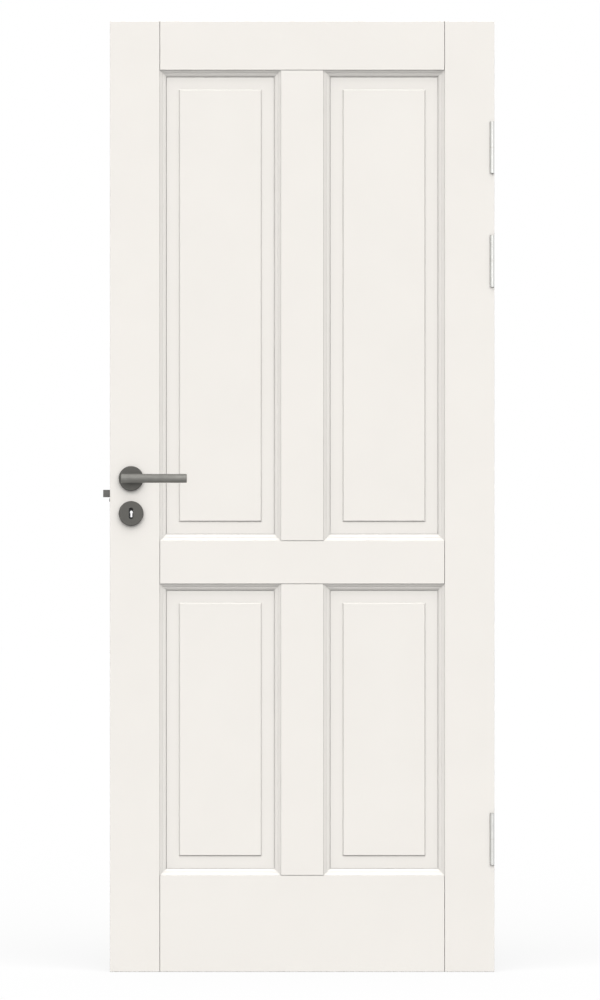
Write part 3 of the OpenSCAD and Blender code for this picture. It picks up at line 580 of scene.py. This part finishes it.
def lever(node):
    low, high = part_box(node)
    out = -1 if node.endswith("front") else 1
    axis_y = low.y + bar_r if out < 0 else high.y - bar_r
    root_y = high.y if out < 0 else low.y
    axis_z = middle(node).z
    spindle = middle("spindle")
    bar = solid_cylinder(
        node + "_bar", ((low.x + high.x) / 2, axis_y, axis_z), bar_r, high.x - low.x, TURN_TO_X
    )
    bpy.ops.object.mode_set(mode="EDIT")
    pick("FACE", end_disc)
    bpy.ops.mesh.bevel(offset=bar_rim, segments=4)
    bpy.ops.object.mode_set(mode="OBJECT")
    neck_length = abs(axis_y - root_y)
    neck = solid_cylinder(
        node + "_neck", (spindle.x, (axis_y + root_y) / 2, axis_z), neck_r, neck_length, TURN_TO_Y
    )
    boolean(bar, neck, "UNION")
    grub = middle("grub_screws")
    grub_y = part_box("grub_screws")[0 if out < 0 else 1].y - out * grub_r
    hole = solid_cylinder(
        node + "_hole", (grub.x, grub_y, axis_z - neck_r), grub_r, neck_r, (0, 0, 0), sides=48
    )
    boolean(bar, hole, "DIFFERENCE")
    smooth(bar)
    bar.visible_shadow = False
    bar.visible_diffuse = False
    settle(bar, node, lever_steel)


for node in ("lever_front", "lever_back"):
    lever(node)

# %% [markdown]
# ## Roses and escutcheons
# Each cover is a shallow cup pressed from sheet, with a rounded front rim. It starts as a cylinder. The rim
# of its front disc is bevelled, and the back disc is inset by the wall and pushed in to hollow the cup. A
# boolean then cuts the opening: a round one for a lever's neck, or a slot with round ends for the key.
# %% Model the covers
cover_wall = 1.4 * MM
cover_rim = 1.2 * MM
neck_play = 0.35 * MM
key_opening = (9.4 * MM, 24.7 * MM)
tool_depth = 50 * MM


def cover(node, tool, finish):
    low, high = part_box(node)
    out = -1 if node.endswith("front") else 1
    radius = (high.x - low.x) / 2
    depth = high.y - low.y
    piece = solid_cylinder(node + "_cup", (low + high) / 2, radius, depth, TURN_TO_Y, sides=160)
    bpy.ops.object.mode_set(mode="EDIT")
    pick("FACE", lambda face: face.normal.y * out > straight)
    bpy.ops.mesh.bevel(offset=cover_rim, segments=6)
    pick("FACE", lambda face: face.normal.y * out < -straight)
    bpy.ops.mesh.inset(thickness=cover_wall)
    bpy.ops.mesh.extrude_region_move(
        TRANSFORM_OT_translate={"value": (0, out * (depth - cover_wall), 0)}
    )
    bpy.ops.object.mode_set(mode="OBJECT")
    boolean(piece, tool, "DIFFERENCE")
    smooth(piece)
    settle(piece, node, finish)


def neck_tool(node):
    return solid_cylinder("neck_tool", middle(node), neck_r + neck_play, tool_depth, TURN_TO_Y)


def key_tool(node):
    """A slot with round ends: a cylinder whose upper and lower halves are pulled apart."""
    width, height = key_opening
    tool = solid_cylinder("key_tool", middle(node), width / 2, tool_depth, TURN_TO_Y, sides=64)
    centre_z = middle(node).z
    reach = (height - width) / 2
    bpy.ops.object.mode_set(mode="EDIT")
    pick("VERT", lambda corner: corner.co.z > centre_z)
    bpy.ops.transform.translate(value=(0, 0, reach))
    pick("VERT", lambda corner: corner.co.z <= centre_z)
    bpy.ops.transform.translate(value=(0, 0, -reach))
    bpy.ops.object.mode_set(mode="OBJECT")
    return tool


for side in ("front", "back"):
    cover("rose_cover_" + side, neck_tool("rose_cover_" + side), rose_steel)
    cover("escutcheon_cover_" + side, key_tool("escutcheon_cover_" + side), escutcheon_steel)

# %% [markdown]
# ## Eased steel
# Bolts, hinge flaps and the forend are stamped or milled, and their edges are broken so that they don't cut.
# Each is a copy of its node: the loose triangles are merged, flat faces are dissolved back into one, and a
# fine bevel rounds the sharp edges. On the latch bolt only those of its nose are picked, because the tail's
# edges lie too close together. The node's form stays as it is.
# %% Ease the steel pieces
ease = 0.25 * MM
merge_distance = 0.001 * MM
flat_angle, sharp_angle = math.radians(0.5), math.radians(40)
nose_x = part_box("latch_bolt")[0].x + ease


def sharp(edge):
    return edge.calc_face_angle(0) > sharp_angle


def sharp_nose(edge):
    return sharp(edge) and min(vertex.co.x for vertex in edge.verts) < nose_x


def eased_copy(node, finish, test=sharp):
    piece = bpy.data.objects.new(node + "_eased", frame["nodes"][node].data.copy())
    bpy.context.scene.collection.objects.link(piece)
    bpy.ops.object.select_all(action="DESELECT")
    piece.select_set(True)
    bpy.context.view_layer.objects.active = piece
    bpy.ops.mesh.customdata_custom_splitnormals_clear()
    bpy.ops.object.mode_set(mode="EDIT")
    bpy.ops.mesh.select_all(action="SELECT")
    bpy.ops.mesh.remove_doubles(threshold=merge_distance)
    bpy.ops.mesh.dissolve_limited(angle_limit=flat_angle)
    pick("EDGE", test)
    bpy.ops.mesh.bevel(offset=ease, segments=2, clamp_overlap=True)
    bpy.ops.object.mode_set(mode="OBJECT")
    smooth(piece)
    settle(piece, node, finish)


for place in ("top", "middle", "bottom"):
    eased_copy(place + "_leaf_flap", hinge_steel)
    eased_copy(place + "_frame_flap", hinge_steel)
eased_copy("latch_bolt", bolt_steel, sharp_nose)
eased_copy("deadbolt", bolt_steel)
eased_copy("lock_forend", hinge_steel)

# %% [markdown]
# ## Springs
# Two coil springs hide in the lock. One pushes the latch bolt out, the other turns the handle back. A coil
# is what the screw modifier is for: it winds a small circle, the section of the wire, round an axis, and the
# two open ends are then filled. A rigid spring would be cut by the piece that presses on it. So for each
# one, the length that it would lose, squashed towards the back of the case, is worked out: as much as that
# piece has moved when its joint is at its limit. The latch bolt slides straight back. The follower's arm
# swings on the spindle, so its travel is worked out from its upper corner.
# %% Wind the springs
wire_r = 0.5 * MM
wire_sides, turn_steps = 12, 32
latch_turns, follower_turns = 11, 6
joints = {joint["name"]: joint for joint in frame["joints"]}


def spring(node, turns, travel):
    low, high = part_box(node)
    length = high.x - low.x
    coil_r = (high.z - low.z) / 2 - wire_r
    bpy.ops.object.select_all(action="DESELECT")
    bpy.ops.mesh.primitive_circle_add(vertices=wire_sides, radius=wire_r, location=(0, coil_r, 0))
    piece = bpy.context.object
    piece.name = node + "_coil"
    bpy.ops.object.transform_apply(location=True, rotation=True, scale=True)
    wind = piece.modifiers.new("wind", "SCREW")
    wind.axis = "X"
    wind.iterations = turns
    wind.screw_offset = (length - 2 * wire_r) / turns
    wind.steps = wind.render_steps = turn_steps
    bpy.ops.object.modifier_apply(modifier=wind.name)
    bpy.ops.object.mode_set(mode="EDIT")
    bpy.ops.mesh.select_all(action="SELECT")
    bpy.ops.mesh.fill_holes(sides=wire_sides)
    bpy.ops.mesh.normals_make_consistent(inside=False)
    bpy.ops.object.mode_set(mode="OBJECT")
    piece.location = (low.x + wire_r, middle(node).y, middle(node).z)
    bpy.ops.object.transform_apply(location=True, rotation=True, scale=True)
    smooth(piece)
    settle(piece, node, zinc_plate)
    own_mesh(piece)
    print(node, "shortens from", round(length / MM, 1), "to", round((length - travel) / MM, 1), "mm")


spring("latch_spring", latch_turns, joints["latch_slide"]["range_m"][1])
arm_turn = math.radians(joints["lever_turn"]["range_deg"][1])
arm_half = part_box("follower_spring")[0].x - middle("spindle").x
arm_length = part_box("follower")[1].z - middle("spindle").z
arm_travel = arm_half * math.cos(arm_turn) + arm_length * math.sin(arm_turn) - arm_half
spring("follower_spring", follower_turns, arm_travel)
